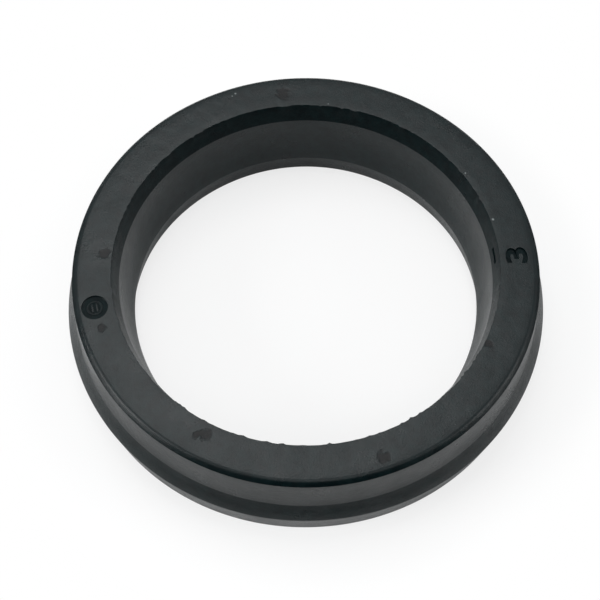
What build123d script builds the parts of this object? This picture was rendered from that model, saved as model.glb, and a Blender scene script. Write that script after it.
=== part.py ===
from build123d import *
from math import cos, radians, sin, tan
import os

# U cup seal for a hydraulic rod: one ring of moulded black rubber.
# It stands on its two sealing lips, with the flat heel face up.
# The origin is on the ring's axis, in the plane of the lip tips. +Z points to the heel face.
# All sizes are in millimetres.

# ---- the rod and the housing bore that the ring seals between ----
rod_diameter = 40.0
gland_width = 5.0              # radial space between the rod and the housing bore
heel_rod_clearance = 0.05      # between the heel's inside land and the rod
heel_bore_clearance = 0.10     # between the heel's outside and the housing bore
seal_height = 11.0             # from the lip tips to the heel face

# ---- heel: the solid end, which bears on the shoulder of its housing ----
heel_edge_chamfer = 0.50       # outside edge of the heel face, at 45 degrees
heel_edge_radius = 0.50        # blends the heel face into that chamfer
heel_side_angle = 5.5          # outside of the heel, from the axis
heel_side_height = 4.80        # from the chamfer down to the outer lip's root
lead_width = 0.95              # long taper at the inside edge of the heel face
lead_height = 2.70
land_angle = 2.5               # inside of the heel below the lead, from the axis
land_height = 3.80             # from the lead down to the inner lip's root

# ---- lips, in their free shape, before the rod and the bore squeeze them ----
outer_lip_squeeze = 1.48       # how far the outer lip stands past the bore's wall
outer_sealing_height = 4.05    # from the lip tips up to the outer sealing edge
outer_bevel_width = 0.53       # the bevel runs from the sealing edge in to the lip tip
inner_lip_squeeze = 0.92       # how far the inner lip stands past the rod's surface
inner_sealing_height = 2.75
inner_bevel_width = 0.52
sealing_edge_radius = 0.40
lip_tip_width = 1.50

# ---- pressure groove between the lips ----
groove_depth = 6.0
groove_root_width = 2.6
groove_root_chamfer = 0.60

# ---- shallow round recess, left by the mould in the heel face ----
mark_diameter = 2.8
mark_depth = 0.20
mark_angle = 193.0             # about the axis, from +X

# ---- radii and heights that follow from the sizes above ----
rod_radius = rod_diameter / 2
bore_radius = rod_radius + gland_width
heel_inner_radius = rod_radius + heel_rod_clearance
heel_outer_radius = bore_radius - heel_bore_clearance
face_inner_radius = heel_inner_radius + lead_width
face_outer_radius = heel_outer_radius - heel_edge_chamfer
face_centre_radius = (face_inner_radius + face_outer_radius) / 2

heel_side_top = seal_height - heel_edge_chamfer
outer_root_height = heel_side_top - heel_side_height
outer_root_radius = heel_outer_radius + heel_side_height * tan(radians(heel_side_angle))
land_top = seal_height - lead_height
inner_root_height = land_top - land_height
inner_root_radius = heel_inner_radius - land_height * tan(radians(land_angle))

outer_edge_radius = bore_radius + outer_lip_squeeze
outer_tip_radius = outer_edge_radius - outer_bevel_width
inner_edge_radius = rod_radius - inner_lip_squeeze
inner_tip_radius = inner_edge_radius + inner_bevel_width

groove_outer_radius = outer_tip_radius - lip_tip_width
groove_inner_radius = inner_tip_radius + lip_tip_width
groove_centre_radius = (groove_outer_radius + groove_inner_radius) / 2

# ---- corners of the half section, as (radius, height) ----
outer_tip = (outer_tip_radius, 0)
outer_sealing_edge = (outer_edge_radius, outer_sealing_height)
outer_lip_root = (outer_root_radius, outer_root_height)
chamfer_foot = (heel_outer_radius, heel_side_top)
face_outer_corner = (face_outer_radius, seal_height)
face_inner_corner = (face_inner_radius, seal_height)
lead_foot = (heel_inner_radius, land_top)
inner_lip_root = (inner_root_radius, inner_root_height)
inner_sealing_edge = (inner_edge_radius, inner_sealing_height)
inner_tip = (inner_tip_radius, 0)
groove_inner_mouth = (groove_inner_radius, 0)
groove_inner_root = (groove_centre_radius - groove_root_width / 2, groove_depth)
groove_outer_root = (groove_centre_radius + groove_root_width / 2, groove_depth)
groove_outer_mouth = (groove_outer_radius, 0)

# the rounded corners and their radii: the heel's outside edge and the two sealing edges
rounded_corners = [
    (face_outer_corner, heel_edge_radius),
    (outer_sealing_edge, sealing_edge_radius),
    (inner_sealing_edge, sealing_edge_radius),
]

with BuildPart() as u_cup_seal:
    # the half section: heel at the top, two bevelled lips and the groove below
    with BuildSketch(Plane.XZ) as half_section:
        with BuildLine():
            Polyline(
                outer_tip, outer_sealing_edge, outer_lip_root, chamfer_foot,
                face_outer_corner, face_inner_corner, lead_foot,
                inner_lip_root, inner_sealing_edge, inner_tip,
                groove_inner_mouth, groove_inner_root, groove_outer_root, groove_outer_mouth,
                close=True,
            )
        make_face()
        for (corner_radius, corner_height), blend in rounded_corners:
            corner = half_section.vertices().sort_by_distance((corner_radius, corner_height, 0))[0]
            fillet(corner, blend)
        for corner_radius, corner_height in (groove_inner_root, groove_outer_root):
            corner = half_section.vertices().sort_by_distance((corner_radius, corner_height, 0))[0]
            chamfer(corner, groove_root_chamfer)
    revolve(axis=Axis.Z)

    # the round recess, halfway across the heel face
    with BuildSketch(Plane.XY.offset(seal_height)):
        with Locations((
            face_centre_radius * cos(radians(mark_angle)),
            face_centre_radius * sin(radians(mark_angle)),
        )):
            Circle(mark_diameter / 2)
    extrude(amount=-mark_depth, mode=Mode.SUBTRACT)

u_cup_seal.part.label = "u_cup_seal"

os.makedirs("parts", exist_ok=True)
export_step(u_cup_seal.part, "parts/u_cup_seal.step")
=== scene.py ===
# %% [markdown]
# # A U cup seal in black rubber
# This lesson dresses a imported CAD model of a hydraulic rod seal. The seal is one turned ring:
# a flat heel at the top, and two thin lips below it with a groove between them.
# The CAD model gives the frame, so every piece here is made in metres, in that same frame,
# with the ring's axis on Z and the lip tips at height 0.

from math import atan2, cos, degrees, pi, radians, sin, tan

import bmesh
import bpy
from mathutils import Matrix, Vector, noise


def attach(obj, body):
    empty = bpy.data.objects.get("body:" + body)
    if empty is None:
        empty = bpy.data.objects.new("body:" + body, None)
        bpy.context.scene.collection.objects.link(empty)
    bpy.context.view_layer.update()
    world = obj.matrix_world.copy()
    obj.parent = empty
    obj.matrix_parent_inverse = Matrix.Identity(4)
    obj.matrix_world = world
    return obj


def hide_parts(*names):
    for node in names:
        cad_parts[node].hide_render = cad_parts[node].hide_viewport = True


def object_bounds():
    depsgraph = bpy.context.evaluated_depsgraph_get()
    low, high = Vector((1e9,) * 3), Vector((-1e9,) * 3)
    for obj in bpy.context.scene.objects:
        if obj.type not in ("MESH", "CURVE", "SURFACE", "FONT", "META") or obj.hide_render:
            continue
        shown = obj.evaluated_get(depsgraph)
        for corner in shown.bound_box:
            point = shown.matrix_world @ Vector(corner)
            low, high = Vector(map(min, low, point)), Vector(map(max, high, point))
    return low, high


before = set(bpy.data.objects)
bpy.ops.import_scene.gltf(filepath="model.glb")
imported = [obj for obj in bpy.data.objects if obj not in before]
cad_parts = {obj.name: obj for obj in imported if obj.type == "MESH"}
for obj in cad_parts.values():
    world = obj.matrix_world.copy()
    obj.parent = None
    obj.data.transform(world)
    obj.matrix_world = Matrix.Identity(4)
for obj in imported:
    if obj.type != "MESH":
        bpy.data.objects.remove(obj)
cad_low, cad_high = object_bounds()
seal_height = cad_high[2]
MM = 0.001
print("CAD box, mm:", [round(v / MM, 2) for v in (*cad_low, *cad_high)])

# %% [markdown]
# ## The half section
# A moulded ring is a flat outline turned about an axis. The outline has few corners, and each
# corner of the real seal is rounded by its own amount: the trimmed inside edge of the heel is
# crisp, while the sealing edges are soft. So the section is a list of corners with a rounding
# each. A vertex bevel with a profile of 0.5 turns a corner into an arc, and its offset is the
# distance from the corner to where the arc starts.

# %% Corners of the half section: radius, height and rounding, in millimetres
face_edge_radius, face_height = 20.72, 11.00
taper_foot_radius, taper_foot_height = 20.12, 8.80

half_section = [
    (25.62, 0.00, 0.12),                            # outer lip tip
    (26.27, 4.25, 0.30),                            # outer sealing edge
    (25.28, 6.10, 0.15),                            # root of the outer lip
    (24.90, 10.50, 0.06),                           # foot of the heel's chamfer
    (24.40, face_height, 0.55),                     # outside edge of the heel face
    (face_edge_radius, face_height, 0.05),          # inside edge of the heel face
    (taper_foot_radius, taper_foot_height, 0.08),   # foot of the inside taper
    (19.93, 5.60, 13.0),                            # root of the inner lip, a long soft curve
    (19.08, 2.75, 0.42),                            # inner sealing edge
    (19.60, 0.00, 0.12),                            # inner lip tip
    (21.10, 0.00, 0.12),                            # groove mouth, inside
    (21.47, 6.00, 0.90),                            # groove root, inside
    (24.07, 6.00, 0.90),                            # groove root, outside
    (24.45, 0.00, 0.12),                            # groove mouth, outside
]


def round_corner(bm, corner, before, after, radius):
    """Turns one corner of a flat outline into an arc of that radius."""
    vert = min(bm.verts, key=lambda v: (v.co - corner).length)
    turn = (corner - before).angle(after - corner)
    setback = radius * tan(turn / 2)
    steps = max(3, round(degrees(turn) / 10))
    bmesh.ops.bevel(
        bm, geom=[vert], offset=setback, offset_type="OFFSET", segments=steps,
        profile=0.5, affect="VERTICES", material=-1, clamp_overlap=True,
    )


outline = bmesh.new()
corners = [Vector((radius * MM, 0, height * MM)) for radius, height, _ in half_section]
outline.faces.new([outline.verts.new(corner) for corner in corners])
for i, (_, _, rounding) in enumerate(half_section):
    following = corners[(i + 1) % len(corners)]
    round_corner(outline, corners[i], corners[i - 1], following, rounding * MM)
bmesh.ops.delete(outline, geom=outline.faces[:], context="FACES_ONLY")

# long straight runs get points of their own, so that a small dent stays small
longest_run = 1.0 * MM
for edge in outline.edges[:]:
    cuts = int(edge.calc_length() / longest_run)
    if cuts:
        bmesh.ops.subdivide_edges(outline, edges=[edge], cuts=cuts)
print("section:", len(outline.verts), "points after rounding")

# %% [markdown]
# ## Turn the section into the ring
# Spin sweeps the outline round the axis, and use_merge closes the last step onto the first.
# A full turn can leave doubles and faces that look inwards, so they are merged, and then the
# normals are recalculated while the shell is still one plain closed skin.

# %% Spin the ring
ring_steps = 480
bmesh.ops.spin(
    outline, geom=outline.verts[:] + outline.edges[:], cent=(0, 0, 0), axis=(0, 0, 1),
    dvec=(0, 0, 0), angle=2 * pi, steps=ring_steps, use_merge=True,
)
bmesh.ops.remove_doubles(outline, verts=outline.verts[:], dist=1e-7)
bmesh.ops.recalc_face_normals(outline, faces=outline.faces[:])
open_edges = sum(edge.is_boundary for edge in outline.edges)
print("ring:", len(outline.faces), "faces, open edges:", open_edges)

# %% [markdown]
# ## Signs of moulding and trimming
# A rubber ring is not a perfect turned part. Its soft lips are a few hundredths out of round,
# and where the flash was torn off, the inside edge of the heel face is ragged. Both are small
# moves of the vertices that are already there, and a noise that depends only on the angle
# round the ring gives the same bumps on every run.

# %% Ragged trim line and lips that are a little out of round
trim_radius, trim_height = face_edge_radius * MM, face_height * MM
trim_reach = 0.12 * MM                          # vertices this near the edge belong to it
tear_height, trim_skin = 0.22 * MM, 0.018 * MM  # of the torn stretches, and of the rest
coarse_scale, fine_scale = 17.0, 60.0
nib_angles = [radians(a) for a in (-128.0, -97.0, -84.0, -60.0, 78.0, 97.0)]
nib_length, nib_half_width = 0.16 * MM, radians(0.9)
lip_height = 6.5 * MM
lip_oval, lip_ripple = 0.05 * MM, 0.025 * MM


def trim_bump(angle):
    """How far the torn flash stands out at an angle, in metres."""
    here = Vector((cos(angle), sin(angle), 0.0))
    coarse = noise.noise(here * coarse_scale + Vector((3.1, 0, 0)))
    fine = noise.noise(here * fine_scale + Vector((0, 7.7, 0)))
    ragged = max(0.0, coarse + 0.75 * fine - 0.10)
    return tear_height * ragged + trim_skin * (1 + fine)


def nib(angle):
    """The height of the nearest of the few larger nibs, in metres."""
    nearest = min(abs((angle - a + pi) % (2 * pi) - pi) for a in nib_angles)
    return nib_length * max(0.0, 1 - nearest / nib_half_width)


for v in outline.verts:
    radius, angle = v.co.xy.length, atan2(v.co.y, v.co.x)
    move = 0.0
    if abs(radius - trim_radius) < trim_reach and abs(v.co.z - trim_height) < trim_reach:
        move -= trim_bump(angle)
        move -= nib(angle)
    lip = max(0.0, 1 - v.co.z / lip_height)
    move += lip_oval * lip * sin(2 * angle + 0.6) + lip_ripple * lip * sin(5 * angle)
    v.co.xy *= (radius + move) / radius

ring_mesh = bpy.data.meshes.new("seal_ring_shell")
outline.to_mesh(ring_mesh)
outline.free()
ring_shell = bpy.data.objects.new("seal_ring_shell", ring_mesh)
bpy.context.collection.objects.link(ring_shell)
print("shell width, mm:", round(ring_shell.dimensions.x / MM, 2))

# %% [markdown]
# ## Mould marks
# A moulded seal carries the marks of its cavity. Here they are a shallow round recess, a plain
# numeral pressed into the face, and a short bar on the taper beside it. They are cut with a
# boolean, because a mark that is really in the mesh catches light along its walls. The recess
# and bar cutters are bevelled, so that the bottoms of their cuts are not knife sharp.

# %% Helpers for the cutters
recess_angle, recess_radius = radians(193.0), 22.7 * MM
recess_width, recess_depth = 2.8 * MM, 0.20 * MM
cutter_height = 1.0 * MM                        # more than any mark is deep


def cutter_object(name, bm):
    """A helper object made from a bmesh."""
    mesh = bpy.data.meshes.new(name)
    bmesh.ops.recalc_face_normals(bm, faces=bm.faces[:])
    bm.to_mesh(mesh)
    bm.free()
    obj = bpy.data.objects.new(name, mesh)
    bpy.context.collection.objects.link(obj)
    return obj


def round_plug(bm, radius, low, centre):
    """A short closed plug whose lower rim is bevelled."""
    made = bmesh.ops.create_cone(
        bm, cap_ends=True, segments=72, radius1=radius, radius2=radius, depth=cutter_height,
    )
    bmesh.ops.translate(bm, verts=made["verts"], vec=(0, 0, low + cutter_height / 2))
    rim = {edge for v in made["verts"] for edge in v.link_edges}
    rim = [edge for edge in rim if all(abs(v.co.z - low) < 1e-7 for v in edge.verts)]
    bmesh.ops.bevel(
        bm, geom=rim, offset=0.06 * MM, offset_type="OFFSET", segments=3,
        profile=0.5, affect="EDGES", material=-1,
    )
    bmesh.ops.translate(bm, verts=bm.verts[:], vec=centre)


# %% The round recess
recess_centre = Vector((recess_radius * cos(recess_angle), recess_radius * sin(recess_angle), 0))
plug = bmesh.new()
round_plug(plug, recess_width / 2, seal_height - recess_depth, recess_centre)
recess_cutter = cutter_object("recess_cutter", plug)
print("recess cutter at, mm:", [round(v / MM, 2) for v in recess_centre])

# %% [markdown]
# The numeral starts as a text curve, which has the strokes of a plain figure ready drawn.
# It is made a mesh, scaled to the numeral's real height and width, turned so that its top
# points at the ring's axis, and sunk into the heel face.

# %% The numeral, made from a text curve
numeral_angle, numeral_radius = radians(1.8), 22.5 * MM
numeral_high, numeral_wide, numeral_depth = 2.35 * MM, 1.95 * MM, 0.20 * MM

numeral_curve = bpy.data.curves.new("numeral", "FONT")
numeral_curve.body = "3"
numeral_curve.offset = 0.035
numeral_curve.extrude = 0.5
numeral_curve.resolution_u = 8
numeral_text = bpy.data.objects.new("numeral_text", numeral_curve)
bpy.context.collection.objects.link(numeral_text)
bpy.context.view_layer.update()
numeral_mesh = bpy.data.meshes.new_from_object(
    numeral_text.evaluated_get(bpy.context.evaluated_depsgraph_get())
)
bpy.data.objects.remove(numeral_text)

glyph = bmesh.new()
glyph.from_mesh(numeral_mesh)
bmesh.ops.remove_doubles(glyph, verts=glyph.verts[:], dist=1e-5)
glyph_low = Vector([min(v.co[k] for v in glyph.verts) for k in range(3)])
glyph_high = Vector([max(v.co[k] for v in glyph.verts) for k in range(3)])
bmesh.ops.translate(glyph, verts=glyph.verts[:], vec=-(glyph_low + glyph_high) / 2)
bmesh.ops.scale(glyph, verts=glyph.verts[:], vec=(
    numeral_wide / (glyph_high.x - glyph_low.x),
    numeral_high / (glyph_high.y - glyph_low.y),
    cutter_height / (glyph_high.z - glyph_low.z),
))
top_to_axis = Matrix.Rotation(radians(90) + numeral_angle, 3, "Z")
bmesh.ops.rotate(glyph, verts=glyph.verts[:], matrix=top_to_axis)
bmesh.ops.translate(glyph, verts=glyph.verts[:], vec=(
    numeral_radius * cos(numeral_angle), numeral_radius * sin(numeral_angle),
    seal_height - numeral_depth + cutter_height / 2,
))
numeral_cutter = cutter_object("numeral_cutter", glyph)
print("numeral cutter:", len(numeral_mesh.polygons), "faces")

# %% The short bar pressed into the taper beside the numeral
bar_angle, bar_radius, bar_height = radians(4.0), 20.40 * MM, 9.75 * MM
bar_deep, bar_long, bar_wide = 0.30 * MM, 1.85 * MM, 0.42 * MM
taper_lean = radians(15.3)

bar = bmesh.new()
bmesh.ops.create_cube(bar, size=1.0)
bmesh.ops.scale(bar, verts=bar.verts[:], vec=(bar_deep, bar_long, bar_wide))
bmesh.ops.bevel(
    bar, geom=bar.edges[:], offset=0.05 * MM, offset_type="OFFSET", segments=2,
    profile=0.5, affect="EDGES", material=-1,
)
bmesh.ops.rotate(bar, verts=bar.verts[:], matrix=Matrix.Rotation(taper_lean, 3, "Y"))
bmesh.ops.translate(bar, verts=bar.verts[:], vec=(bar_radius, 0, bar_height))
bmesh.ops.rotate(bar, verts=bar.verts[:], matrix=Matrix.Rotation(bar_angle, 3, "Z"))
bar_cutter = cutter_object("bar_cutter", bar)
print("bar cutter:", len(bar_cutter.data.polygons), "faces")

# %% Cut the marks and keep the finished mesh
for cutter in (recess_cutter, numeral_cutter, bar_cutter):
    cut = ring_shell.modifiers.new(cutter.name, "BOOLEAN")
    cut.operation = "DIFFERENCE"
    cut.solver = "EXACT"
    cut.object = cutter
    cut.use_self = cutter is numeral_cutter
bpy.context.view_layer.update()
cut_mesh = bpy.data.meshes.new_from_object(
    ring_shell.evaluated_get(bpy.context.evaluated_depsgraph_get())
)
cut_mesh.name = "seal_ring"
for helper in (ring_shell, recess_cutter, numeral_cutter, bar_cutter):
    bpy.data.objects.remove(helper)
print("cut ring:", len(cut_mesh.polygons), "faces")

# %% [markdown]
# ## What fills the recess
# The recess holds a small raised figure that the mould leaves. A plain ring with two bars in
# it is generic, and it breaks the light in the recess as a worn cavity stamp does. It is
# joined to the ring's own mesh, so the seal stays one piece. The raised ring is a short bent
# strip, spun about the recess's middle, with its two rims sunk under the recess floor.

# %% A raised ring and two bars on the recess floor
stamp = bmesh.new()
stamp.from_mesh(cut_mesh)
before = set(stamp.verts)
recess_floor = seal_height - recess_depth
# the raised ring's outline: radius and height above the recess floor, in millimetres
ridge = [(0.62, -0.02), (0.66, 0.06), (0.74, 0.09), (0.82, 0.06), (0.86, -0.02)]
raised_bar = (0.17 * MM, 1.0 * MM, 0.12 * MM)
bar_offset, bar_middle = 0.24 * MM, 0.03 * MM

ridge_verts = [stamp.verts.new((radius * MM, 0, recess_floor + rise * MM)) for radius, rise in ridge]
ridge_edges = [stamp.edges.new(pair) for pair in zip(ridge_verts, ridge_verts[1:])]
bmesh.ops.spin(
    stamp, geom=ridge_verts + ridge_edges, cent=(0, 0, 0), axis=(0, 0, 1),
    dvec=(0, 0, 0), angle=2 * pi, steps=48, use_merge=True,
)
for side in (-1, 1):
    block = bmesh.ops.create_cube(stamp, size=1.0)["verts"]
    bmesh.ops.scale(stamp, verts=block, vec=raised_bar)
    bmesh.ops.translate(stamp, verts=block, vec=(side * bar_offset, 0, recess_floor + bar_middle))
    bmesh.ops.bevel(
        stamp, geom=list({edge for v in block for edge in v.link_edges}), offset=0.04 * MM,
        offset_type="OFFSET", segments=2, profile=0.5, affect="EDGES", material=-1,
    )
added = [v for v in stamp.verts if v not in before]
bmesh.ops.rotate(stamp, verts=added, matrix=Matrix.Rotation(recess_angle, 3, "Z"))
bmesh.ops.translate(stamp, verts=added, vec=recess_centre)
added_faces = list({f for v in added for f in v.link_faces})
bmesh.ops.recalc_face_normals(stamp, faces=added_faces)
if sum(f.normal.z * f.calc_area() for f in added_faces) < 0:
    bmesh.ops.reverse_faces(stamp, faces=added_faces)
stamp.to_mesh(cut_mesh)
stamp.free()

crease_angle = radians(28)      # edges that turn by more than this stay crisp
seal_ring = bpy.data.objects.new("seal_ring", cut_mesh)
bpy.context.collection.objects.link(seal_ring)
cut_mesh.shade_smooth()
cut_mesh.set_sharp_from_angle(angle=crease_angle)
even_normals = seal_ring.modifiers.new("even_normals", "WEIGHTED_NORMAL")
even_normals.mode = "FACE_AREA"
even_normals.weight = 50
even_normals.keep_sharp = True
print("seal ring:", len(cut_mesh.polygons), "faces")

# %% [markdown]
# ## Black rubber
# Moulded nitrile rubber is almost black. What shows is its soft gloss, which is uneven: the
# surface has a fine grain from the mould, cloudy patches of bloom, and smudges where it has
# been handled. The pattern reads Object coordinates, so it stays fixed to the ring. Cloud
# and spots are small node groups that put out plain masks, while the grain and the shader
# itself stay in the material.

# %% Node helpers
def new_group(name, inputs, outputs):
    """An empty node group with its sockets, as (group, its input node, its output node)."""
    group = bpy.data.node_groups.new(name, "ShaderNodeTree")
    for socket, kind, default in inputs:
        made = group.interface.new_socket(socket, in_out="INPUT", socket_type=kind)
        made.default_value = default
    for socket, kind in outputs:
        group.interface.new_socket(socket, in_out="OUTPUT", socket_type=kind)
    return group, group.nodes.new("NodeGroupInput"), group.nodes.new("NodeGroupOutput")


def put(tree, kind, links=(), **settings):
    """A node with its settings and its input links."""
    node = tree.nodes.new(kind)
    for key, value in settings.items():
        setattr(node, key, value)
    for socket, source in dict(links).items():
        if hasattr(source, "is_output"):
            tree.links.new(source, node.inputs[socket])
        else:
            node.inputs[socket].default_value = source
    return node


# %% A group for cloudy bloom: broad patches broken up by finer ones
bloom_group, bloom_in, bloom_out = new_group(
    "rubber_bloom",
    [("Vector", "NodeSocketVector", (0, 0, 0)), ("Broad Scale", "NodeSocketFloat", 160.0),
     ("Fine Scale", "NodeSocketFloat", 900.0)],
    [("Cloud", "NodeSocketFloat"), ("Mottle", "NodeSocketFloat")],
)
broad = put(bloom_group, "ShaderNodeTexNoise", {
    "Vector": bloom_in.outputs["Vector"], "Scale": bloom_in.outputs["Broad Scale"],
    "Detail": 4.0, "Roughness": 0.6,
})
fine = put(bloom_group, "ShaderNodeTexNoise", {
    "Vector": bloom_in.outputs["Vector"], "Scale": bloom_in.outputs["Fine Scale"],
    "Detail": 6.0, "Roughness": 0.65,
})
bloom_group.links.new(broad.outputs["Fac"], bloom_out.inputs["Cloud"])
bloom_group.links.new(fine.outputs["Fac"], bloom_out.inputs["Mottle"])
print("group:", bloom_group.name)

# %% A group for one soft spot, such as a smudge or a speck of dust
spot_group, spot_in, spot_out = new_group(
    "surface_spot",
    [("Vector", "NodeSocketVector", (0, 0, 0)), ("Centre", "NodeSocketVector", (0, 0, 0)),
     ("Size", "NodeSocketFloat", 0.0005), ("Ragged", "NodeSocketFloat", 0.3)],
    [("Mask", "NodeSocketFloat")],
)
gap = put(spot_group, "ShaderNodeVectorMath",
          {0: spot_in.outputs["Vector"], 1: spot_in.outputs["Centre"]}, operation="DISTANCE")
share = put(spot_group, "ShaderNodeMath",
            {0: gap.outputs["Value"], 1: spot_in.outputs["Size"]}, operation="DIVIDE")
tatter = put(spot_group, "ShaderNodeTexNoise", {
    "Vector": spot_in.outputs["Vector"], "Scale": 1800.0, "Detail": 4.0,
})
tatter_shift = put(spot_group, "ShaderNodeMath",
                   {0: tatter.outputs["Fac"], 1: 0.5}, operation="SUBTRACT")
edge = put(spot_group, "ShaderNodeMath", {
    0: tatter_shift.outputs[0], 1: spot_in.outputs["Ragged"], 2: share.outputs[0],
}, operation="MULTIPLY_ADD")
fade = put(spot_group, "ShaderNodeMapRange", {
    "Value": edge.outputs[0], "From Min": 0.55, "From Max": 1.05, "To Min": 1.0, "To Max": 0.0,
}, interpolation_type="SMOOTHSTEP")
spot_group.links.new(fade.outputs["Result"], spot_out.inputs["Mask"])
print("group:", spot_group.name)

# %% The rubber material
rubber = bpy.data.materials.new("black_rubber")
rubber.use_nodes = True
tree = rubber.node_tree
shader = tree.nodes["Principled BSDF"]
shader.inputs["IOR"].default_value = 1.5
shader.inputs["Specular IOR Level"].default_value = 0.30
coords = put(tree, "ShaderNodeTexCoord").outputs["Object"]

bloom = put(tree, "ShaderNodeGroup", node_tree=bloom_group)
tree.links.new(coords, bloom.inputs["Vector"])


def polar(angle, radius, height):
    """A point on the ring from its angle in degrees and its radius and height in millimetres."""
    return (radius * MM * cos(radians(angle)), radius * MM * sin(radians(angle)), height * MM)


def spots(places, ragged):
    """The strongest of several spots at each point."""
    mask = None
    for angle, radius, height, size in places:
        spot = put(tree, "ShaderNodeGroup", node_tree=spot_group)
        tree.links.new(coords, spot.inputs["Vector"])
        spot.inputs["Centre"].default_value = polar(angle, radius, height)
        spot.inputs["Size"].default_value = size * MM
        spot.inputs["Ragged"].default_value = ragged
        if mask is None:
            mask = spot.outputs["Mask"]
        else:
            mask = put(tree, "ShaderNodeMath",
                       {0: mask, 1: spot.outputs["Mask"]}, operation="MAXIMUM").outputs[0]
    return mask


# each spot: angle in degrees, then radius, height and size in millimetres
smudge_places = [
    (-117.6, 22.0, face_height, 0.75),
    (-119.5, 22.4, face_height, 0.5),
    (-71.2, 23.2, face_height, 0.7),
    (-27.3, 21.1, face_height, 0.55),
    (176.4, 21.6, face_height, 0.8),
    (96.1, 22.5, face_height, 0.9),
    (-160.6, 22.5, face_height, 0.5),
]
speck_places = [
    (109.3, 23.7, face_height, 0.13),
    (110.4, 23.5, face_height, 0.09),
    (82.4, 21.0, 10.9, 0.14),
    (32.3, 21.0, 10.9, 0.16),
    (14.4, 21.0, 10.9, 0.20),
    (15.2, 20.9, 10.6, 0.12),
    (158.8, 20.9, 10.7, 0.10),
]
smudges = spots(smudge_places, 1.6)
specks = spots(speck_places, 0.5)


def blend_colour(factor, first, second):
    """A mix of two colours by a mask."""
    mix = put(tree, "ShaderNodeMix", data_type="RGBA")
    for socket, source in ((0, factor), (6, first), (7, second)):
        if hasattr(source, "is_output"):
            tree.links.new(source, mix.inputs[socket])
        else:
            mix.inputs[socket].default_value = source
    return mix.outputs[2]


# colour: nearly black with a cold cast, a little paler where the bloom is thick
clean_black, bloomed_black = (0.0004, 0.0034, 0.0044, 1), (0.0022, 0.0088, 0.0098, 1)
smudged_black, dust_grey = (0.0005, 0.0010, 0.0015, 1), (0.16, 0.18, 0.18, 1)
tone = put(tree, "ShaderNodeMapRange", {
    "Value": bloom.outputs["Mottle"], "From Min": 0.35, "From Max": 0.65,
    "To Min": 0.0, "To Max": 1.0,
}).outputs["Result"]
colour = blend_colour(tone, clean_black, bloomed_black)
colour = blend_colour(smudges, colour, smudged_black)
colour = blend_colour(specks, colour, dust_grey)
tree.links.new(colour, shader.inputs["Base Color"])

# roughness: patches of bloom scatter the gloss, and smudges do so even more
smooth_patch, matt_patch, smudge_roughening = 0.24, 0.38, 0.16
patchy = put(tree, "ShaderNodeMapRange", {
    "Value": bloom.outputs["Cloud"], "From Min": 0.3, "From Max": 0.7,
    "To Min": smooth_patch, "To Max": matt_patch,
}).outputs["Result"]
rougher = put(tree, "ShaderNodeMath",
              {0: smudges, 1: smudge_roughening, 2: patchy}, operation="MULTIPLY_ADD")
tree.links.new(rougher.outputs[0], shader.inputs["Roughness"])

# relief: grain of the mould, and a faint unevenness of the skin
grain_share, smudge_dent = 0.45, -0.5
grain = put(tree, "ShaderNodeTexNoise", {
    "Vector": coords, "Scale": 5200.0, "Detail": 5.0, "Roughness": 0.7,
})
swell = put(tree, "ShaderNodeTexNoise", {"Vector": coords, "Scale": 420.0, "Detail": 2.0})
relief = put(tree, "ShaderNodeMath", {
    0: grain.outputs["Fac"], 1: grain_share, 2: swell.outputs["Fac"],
}, operation="MULTIPLY_ADD")
dented = put(tree, "ShaderNodeMath",
             {0: smudges, 1: smudge_dent, 2: relief.outputs[0]}, operation="MULTIPLY_ADD")
bump = put(tree, "ShaderNodeBump", {"Height": dented.outputs[0]})
bump.inputs["Strength"].default_value = 0.8
bump.inputs["Distance"].default_value = 0.00008
tree.links.new(bump.outputs["Normal"], shader.inputs["Normal"])
print("material:", rubber.name, "with", len(tree.nodes), "nodes")

# %% [markdown]
# ## Cut rubber
# The taper inside the heel is trimmed with a blade, and the marks come from engravings in the
# mould, which are not polished as its walls are. Both are duller than the rest, so they get a
# copy of the rubber with much less gloss. The faces are picked by where they lie on the ring.

# %% The dull rubber of the taper and of the marks
cut_rubber = rubber.copy()
cut_rubber.name = "cut_black_rubber"
cut_rubber.node_tree.nodes["Principled BSDF"].inputs["Specular IOR Level"].default_value = 0.06
cut_mesh.materials.clear()
cut_mesh.materials.append(rubber)
cut_mesh.materials.append(cut_rubber)

inner_mark_radius, outer_mark_radius = 21.2 * MM, 24.2 * MM
deepest_mark, floor_slack = 0.5 * MM, 0.012 * MM


def on_taper(radius, height):
    """True for a face of the trimmed taper, without the rounded edges at its ends."""
    within_radii = taper_foot_radius * MM - 0.03 * MM < radius < trim_radius + 0.02 * MM
    within_heights = taper_foot_height * MM + 0.05 * MM < height < trim_height - 0.02 * MM
    return within_radii and within_heights


def on_mark_floor(radius, height):
    """True for a face on the floor of the recess or of the numeral."""
    within_radii = inner_mark_radius < radius < outer_mark_radius
    return within_radii and seal_height - deepest_mark < height < recess_floor + floor_slack


dull_faces = 0
for face in cut_mesh.polygons:
    place_on_ring = (face.center.xy.length, face.center.z)
    if on_taper(*place_on_ring) or on_mark_floor(*place_on_ring):
        face.material_index = 1
        dull_faces += 1
print("faces of dull rubber:", dull_faces)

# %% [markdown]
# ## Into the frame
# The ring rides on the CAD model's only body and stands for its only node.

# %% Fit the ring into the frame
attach(seal_ring, "root")
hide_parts("u_cup_seal")
print("seal_ring stands for u_cup_seal")

# %% [markdown]
# ## Floor
# The seal stands on a plain white sheet. The sheet keeps the soft contact shadow, and only the
# camera sees some extra white in it, so the light on the seal does not change. Past the
# sheet's white middle the other rays find a dark bench, which is what the seal's steep lip
# mirrors as a dark band.

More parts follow.
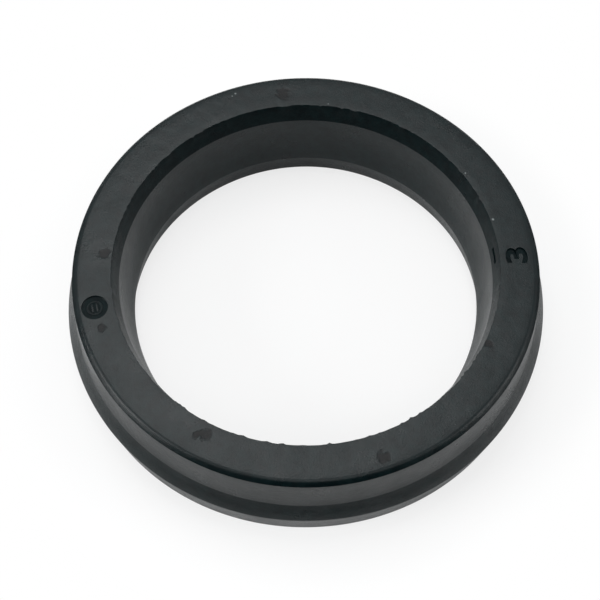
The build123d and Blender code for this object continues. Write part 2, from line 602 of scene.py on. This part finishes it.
# %% The white sheet
floor_radius = 0.6
shadow_radius = 0.031          # the contact shadow lies inside this
lit_radius, dark_radius = 0.037, 0.045
white_in_shadow = 0.72         # the camera's share of extra white under the seal
paper_white, bench_grey = (0.93, 0.93, 0.93, 1), (0.06, 0.06, 0.06, 1)

sheet_bm = bmesh.new()
bmesh.ops.create_circle(sheet_bm, cap_ends=True, radius=floor_radius, segments=96)
sheet_mesh = bpy.data.meshes.new("white_sheet")
sheet_bm.to_mesh(sheet_mesh)
sheet_bm.free()
white_sheet = bpy.data.objects.new("white_sheet", sheet_mesh)
bpy.context.collection.objects.link(white_sheet)

paper = bpy.data.materials.new("white_paper")
paper.use_nodes = True
paper_tree = paper.node_tree
paper_tree.nodes.clear()
place = put(paper_tree, "ShaderNodeTexCoord").outputs["Object"]
reach = put(paper_tree, "ShaderNodeVectorMath", {0: place}, operation="LENGTH").outputs["Value"]
past_sheet = put(paper_tree, "ShaderNodeMapRange", {
    "Value": reach, "From Min": lit_radius, "From Max": dark_radius, "To Min": 0.0, "To Max": 1.0,
}, interpolation_type="SMOOTHSTEP").outputs["Result"]
paper_colour = put(paper_tree, "ShaderNodeMix", data_type="RGBA")
paper_tree.links.new(past_sheet, paper_colour.inputs[0])
paper_colour.inputs[6].default_value = paper_white
paper_colour.inputs[7].default_value = bench_grey
matt = put(paper_tree, "ShaderNodeBsdfDiffuse", {"Color": paper_colour.outputs[2]})
white = put(paper_tree, "ShaderNodeEmission", {"Color": (1, 1, 1, 1), "Strength": 1.0})
seen = put(paper_tree, "ShaderNodeLightPath").outputs["Is Camera Ray"]
share_by_reach = put(paper_tree, "ShaderNodeMapRange", {
    "Value": reach, "From Min": shadow_radius, "From Max": lit_radius,
    "To Min": white_in_shadow, "To Max": 1.0,
}, interpolation_type="SMOOTHSTEP").outputs["Result"]
white_share = put(paper_tree, "ShaderNodeMath",
                  {0: seen, 1: share_by_reach}, operation="MULTIPLY").outputs[0]
paper_mix = put(paper_tree, "ShaderNodeMixShader", {
    0: white_share, 1: matt.outputs[0], 2: white.outputs[0],
})
put(paper_tree, "ShaderNodeOutputMaterial", {"Surface": paper_mix.outputs[0]})
sheet_mesh.materials.append(paper)
print("floor radius, m:", floor_radius)

# %% [markdown]
# ## Light
# The light is a broad soft dome overhead and behind, as from a large window and a white
# ceiling. Low down on the camera's side it is dark, because the camera and the person who
# holds it stand there. Rubber is judged by what it mirrors, so this dark part matters as
# much as the bright one.

# %% The soft dome
world = bpy.data.worlds.new("soft_studio")
bpy.context.scene.world = world
world.use_nodes = True
sky = world.node_tree
sky.nodes.clear()
sky_coords = put(sky, "ShaderNodeTexCoord").outputs["Generated"]
direction = put(sky, "ShaderNodeSeparateXYZ", {0: sky_coords})
side_tilt, dome_softness = 0.75, 0.30
dark_level, bright_level = 0.02, 0.66
tilted = put(sky, "ShaderNodeMath", {
    0: direction.outputs["Y"], 1: side_tilt, 2: direction.outputs["Z"],
}, operation="MULTIPLY_ADD").outputs[0]
dome = put(sky, "ShaderNodeMapRange", {
    "Value": tilted, "From Min": 0.0, "From Max": dome_softness,
    "To Min": dark_level, "To Max": bright_level,
}, interpolation_type="SMOOTHSTEP").outputs["Result"]
dome_light = put(sky, "ShaderNodeBackground", {"Color": (0.97, 0.99, 1.0, 1), "Strength": dome})
backdrop = put(sky, "ShaderNodeBackground", {"Color": (1, 1, 1, 1), "Strength": 1.0})
sky_seen = put(sky, "ShaderNodeLightPath").outputs["Is Camera Ray"]
sky_mix = put(sky, "ShaderNodeMixShader", {
    0: sky_seen, 1: dome_light.outputs[0], 2: backdrop.outputs[0],
})
put(sky, "ShaderNodeOutputWorld", {"Surface": sky_mix.outputs[0]})
print("dome levels:", dark_level, "to", bright_level)

# %% [markdown]
# Four square softboxes add what the dome lacks: one overhead and behind that lays the soft
# shadow, a stronger one on the left and a weaker one on the right for the glints on the heel's
# rounded edge, and a faint one in front.

# %% The softboxes, each turned to the middle of the floor
def softbox(name, place, size, power):
    """A square area lamp that faces the origin."""
    lamp = bpy.data.lights.new(name, "AREA")
    lamp.shape, lamp.size, lamp.energy = "SQUARE", size, power
    obj = bpy.data.objects.new(name, lamp)
    bpy.context.collection.objects.link(obj)
    obj.location = place
    obj.rotation_euler = (-Vector(place)).to_track_quat("-Z", "Y").to_euler()
    print(name, "gives", power, "W")


softbox("overhead_softbox", (-0.08, 0.20, 0.57), size=0.32, power=1.15)
softbox("left_softbox", (-0.48, -0.14, 0.24), size=0.26, power=1.5)
softbox("right_softbox", (0.50, -0.12, 0.22), size=0.24, power=0.7)
softbox("front_softbox", (0.02, -0.28, 0.56), size=0.20, power=0.30)

# %% [markdown]
# ## Camera
# The camera looks down at about 62 degrees from fairly close, so the near side of the ring is
# clearly larger than the far side. Its place is given in multiples of the heel's radius, from
# the middle of the heel face.

# %% The camera
heel_radius = 24.6 * MM
camera_elevation, camera_roll = radians(62.17), radians(-0.5)
camera_distance, slide_right, slide_up = 5.5, 0.026, 0.160
focal_length = 76.3

right = Vector((1, 0, 0))
forward = Vector((0, cos(camera_elevation), -sin(camera_elevation)))
up = Vector((0, sin(camera_elevation), cos(camera_elevation)))
eye = Vector((0, 0, seal_height)) - heel_radius * (
    camera_distance * forward + slide_right * right + slide_up * up
)

camera_data = bpy.data.cameras.new("camera")
camera_data.lens = focal_length
camera_data.sensor_width = 36.0
camera_data.clip_start, camera_data.clip_end = 0.005, 10.0
camera = bpy.data.objects.new("camera", camera_data)
bpy.context.collection.objects.link(camera)
turn = Matrix((right, up, -forward)).transposed()
camera.matrix_world = Matrix.Translation(eye) @ (turn @ Matrix.Rotation(camera_roll, 3, "Z")).to_4x4()
bpy.context.scene.camera = camera
bpy.context.scene.view_settings.view_transform = "Standard"
print("camera at, mm:", [round(v / MM, 1) for v in eye])
